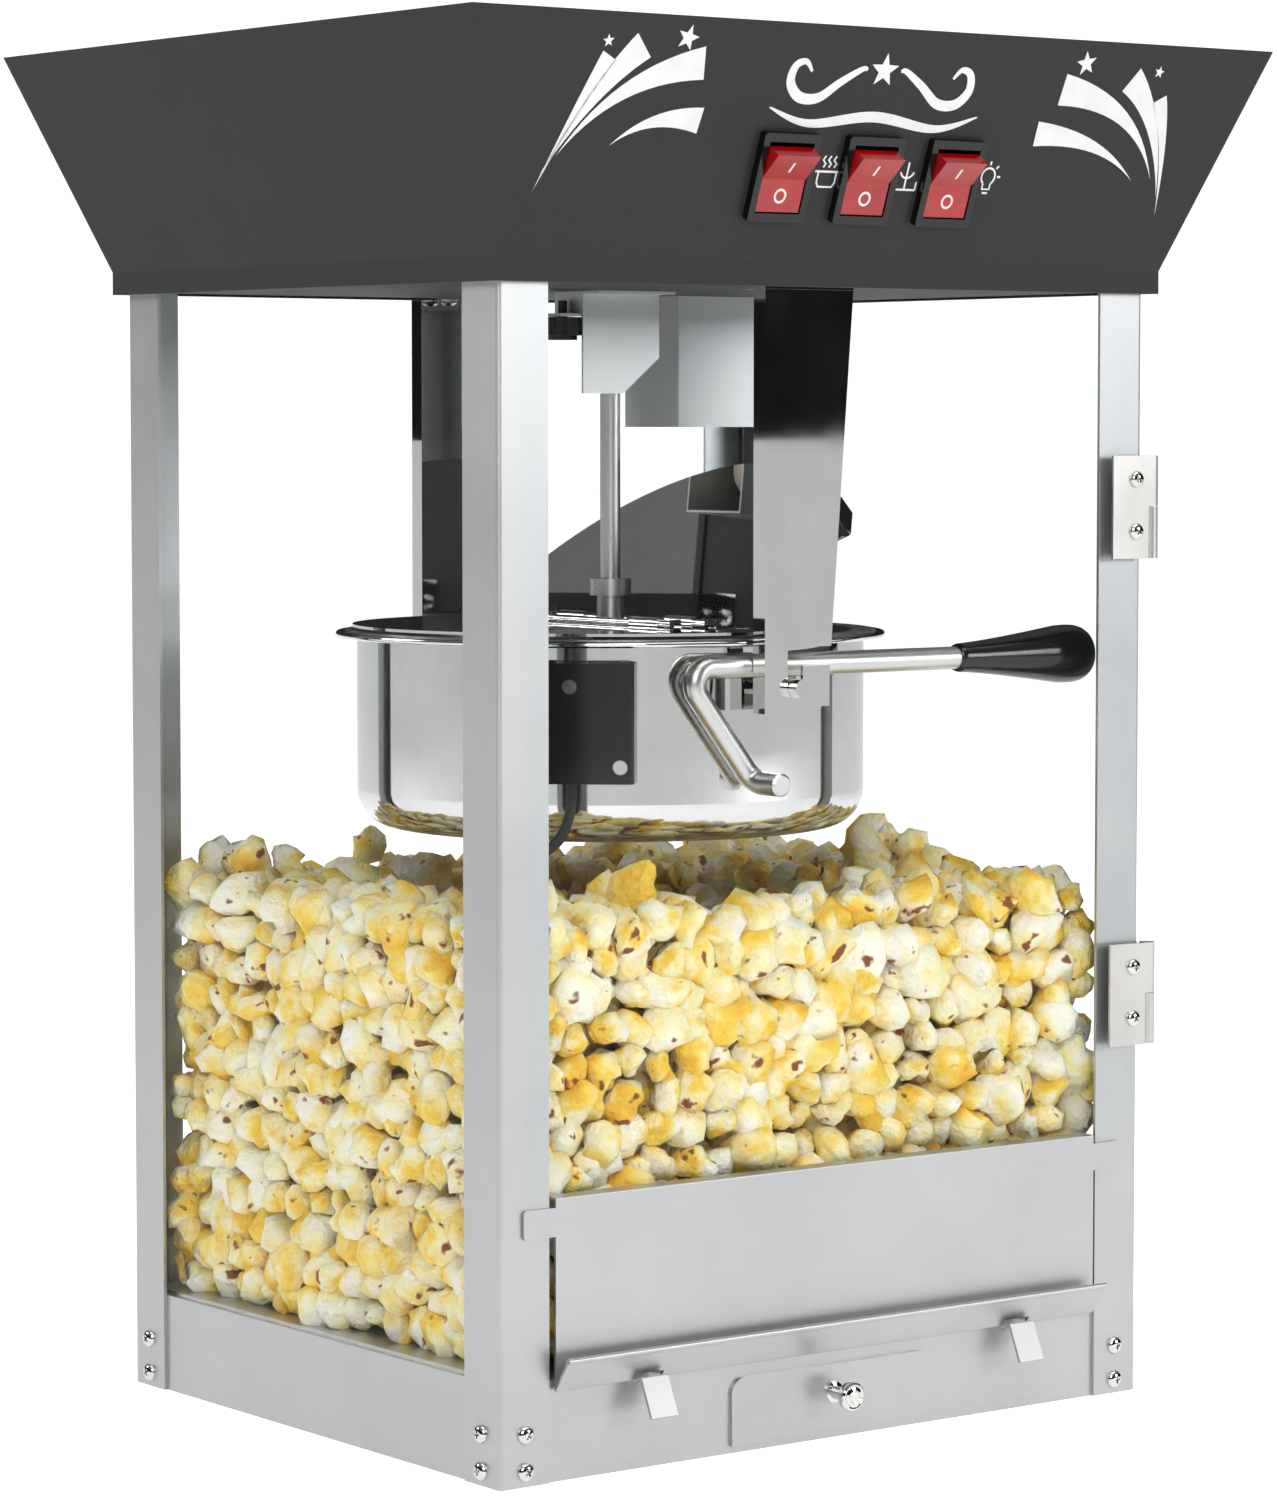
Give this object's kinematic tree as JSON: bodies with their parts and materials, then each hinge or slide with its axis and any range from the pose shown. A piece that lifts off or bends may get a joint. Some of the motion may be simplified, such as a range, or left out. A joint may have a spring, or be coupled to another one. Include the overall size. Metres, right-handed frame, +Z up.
{
  "type": "popcorn maker",
  "caption": "Table-top popcorn maker: glazed steel cabinet with flared roof, hanging tilt-out kettle, stirrer, hinged glass door, fold-down serving shelf, crumb drawer.",
  "frame": {"origin": "centre of the footprint on the ground, under the middle of the machine", "axes": "+Z up; -Y is the front with the door, serving shelf, drawer and switches; +X is to the right seen from the front, where the door is hinged and the kettle tips"},
  "size_m": [0.43, 0.366, 0.599],
  "materials": {
    "cabinet_steel": "satin silver powder coat",
    "stainless": "brushed",
    "polished_steel": "mirror polish",
    "roof_paint": "matt dark grey powder coat",
    "tempered_glass": "clear",
    "pot_aluminium": "spun",
    "black_phenolic": "gloss",
    "black_nylon": "matt",
    "red_plastic": "gloss",
    "rubber": "matt",
    "motor_steel": "semi-gloss",
    "element_alloy": "heat tinted",
    "bronze": "sintered",
    "porcelain": "glazed",
    "bulb_glass": "frosted",
    "cable_sheath": "satin"
  },
  "bodies": {
    "cabinet": {"post_front_left": "cabinet_steel", "post_front_right": "cabinet_steel", "post_rear_left": "cabinet_steel", "post_rear_right": "cabinet_steel", "front_rail": "cabinet_steel", "rear_rail": "cabinet_steel", "left_rail": "cabinet_steel", "right_rail": "cabinet_steel", "base_floor": "cabinet_steel", "rubber_feet": "rubber", "post_screws": "polished_steel", "popcorn_deck": "stainless", "shelf_hooks": "cabinet_steel", "left_glass": "tempered_glass", "right_glass": "tempered_glass", "rear_glass": "tempered_glass", "post_leaves": "stainless", "hinge_pins": "polished_steel", "post_leaf_screws": "polished_steel", "roof_shell": "roof_paint", "roof_cover": "roof_paint", "ceiling_plate": "roof_paint", "switch_housings": "black_phenolic", "gear_motor": "motor_steel", "gearbox": "stainless", "shaft_bracket": "cabinet_steel", "shaft_bushing": "bronze", "lamp_shade": "cabinet_steel", "lamp_holder": "porcelain", "warming_bulb": "bulb_glass", "front_arm": "polished_steel", "rear_arm": "polished_steel", "arm_screws": "polished_steel", "kettle_cable": "cable_sheath", "mains_gland": "black_nylon"},
    "drawer": {"crumb_drawer": "cabinet_steel", "drawer_front": "cabinet_steel", "drawer_knob": "polished_steel"},
    "shelf": {"serving_shelf": "cabinet_steel"},
    "door": {"door_glass": "tempered_glass", "door_leaves": "stainless", "door_leaf_screws": "polished_steel"},
    "kettle": {"kettle_shell": "polished_steel", "kettle_pot": "pot_aluminium", "heating_element": "element_alloy", "lid_bridge": "polished_steel", "trunnions": "polished_steel", "tilt_handle": "stainless", "handle_grip": "black_phenolic", "terminal_box": "black_phenolic", "terminal_screws": "polished_steel"},
    "left_lid": {"left_lid": "polished_steel"},
    "right_lid": {"right_lid": "polished_steel"},
    "stirrer": {"stirrer": "stainless"},
    "drive": {"drive_shaft": "stainless"},
    "kettle_rocker": {"kettle_switch": "red_plastic"},
    "stirrer_rocker": {"stirrer_switch": "red_plastic"},
    "lamp_rocker": {"lamp_switch": "red_plastic"},
    "knob": {"thumb_knob": "black_nylon"}
  },
  "joints": [
    {"name": "drawer_slide", "type": "slide", "parent": "cabinet", "child": "drawer", "axis": [0, -1, 0], "range_m": [0, 0.2]},
    {"name": "shelf_fold", "type": "hinge", "parent": "cabinet", "child": "shelf", "pos_m": [0, -0.1485, 0.041], "axis": [1, 0, 0], "range_deg": [0, 90]},
    {"name": "door_hinge", "type": "hinge", "parent": "cabinet", "child": "door", "pos_m": [0.1786, -0.145, 0.3], "axis": [0, 0, 1], "range_deg": [0, 170]},
    {"name": "kettle_tilt", "type": "hinge", "parent": "cabinet", "child": "kettle", "pos_m": [-0.0105, 0, 0.3235], "axis": [0, 1, 0], "range_deg": [0, 130], "deforming": ["kettle_cable"]},
    {"name": "left_lid_hinge", "type": "hinge", "parent": "kettle", "child": "left_lid", "pos_m": [-0.02, 0.003, 0.3485], "axis": [0, 1, 0], "range_deg": [0, 75]},
    {"name": "right_lid_hinge", "type": "hinge", "parent": "kettle", "child": "right_lid", "pos_m": [-0.001, 0.003, 0.3485], "axis": [0, 1, 0], "range_deg": [-4, 42]},
    {"name": "drive_spin", "type": "hinge", "parent": "cabinet", "child": "drive", "pos_m": [-0.0105, 0.003, 0.4], "axis": [0, 0, 1], "continuous": true},
    {"name": "stirrer_spin", "type": "hinge", "parent": "kettle", "child": "stirrer", "pos_m": [-0.0105, 0.003, 0.3], "axis": [0, 0, 1], "continuous": true},
    {"name": "kettle_switch_rock", "type": "hinge", "parent": "cabinet", "child": "kettle_rocker", "pos_m": [-0.0447, -0.16121, 0.53778], "axis": [1, 0, 0], "range_deg": [-30, 0]},
    {"name": "stirrer_switch_rock", "type": "hinge", "parent": "cabinet", "child": "stirrer_rocker", "pos_m": [0.0005, -0.16121, 0.53778], "axis": [1, 0, 0], "range_deg": [-30, 0]},
    {"name": "lamp_switch_rock", "type": "hinge", "parent": "cabinet", "child": "lamp_rocker", "pos_m": [0.0457, -0.16121, 0.53778], "axis": [1, 0, 0], "range_deg": [-30, 0]},
    {"name": "thumb_knob_turn", "type": "hinge", "parent": "cabinet", "child": "knob", "pos_m": [-0.0345, 0.006, 0.48], "axis": [0, 0, 1], "continuous": true}
  ],
  "couplings": [
    {"joint": "drive_spin", "follows": "stirrer_spin", "ratio": 1}
  ]
}
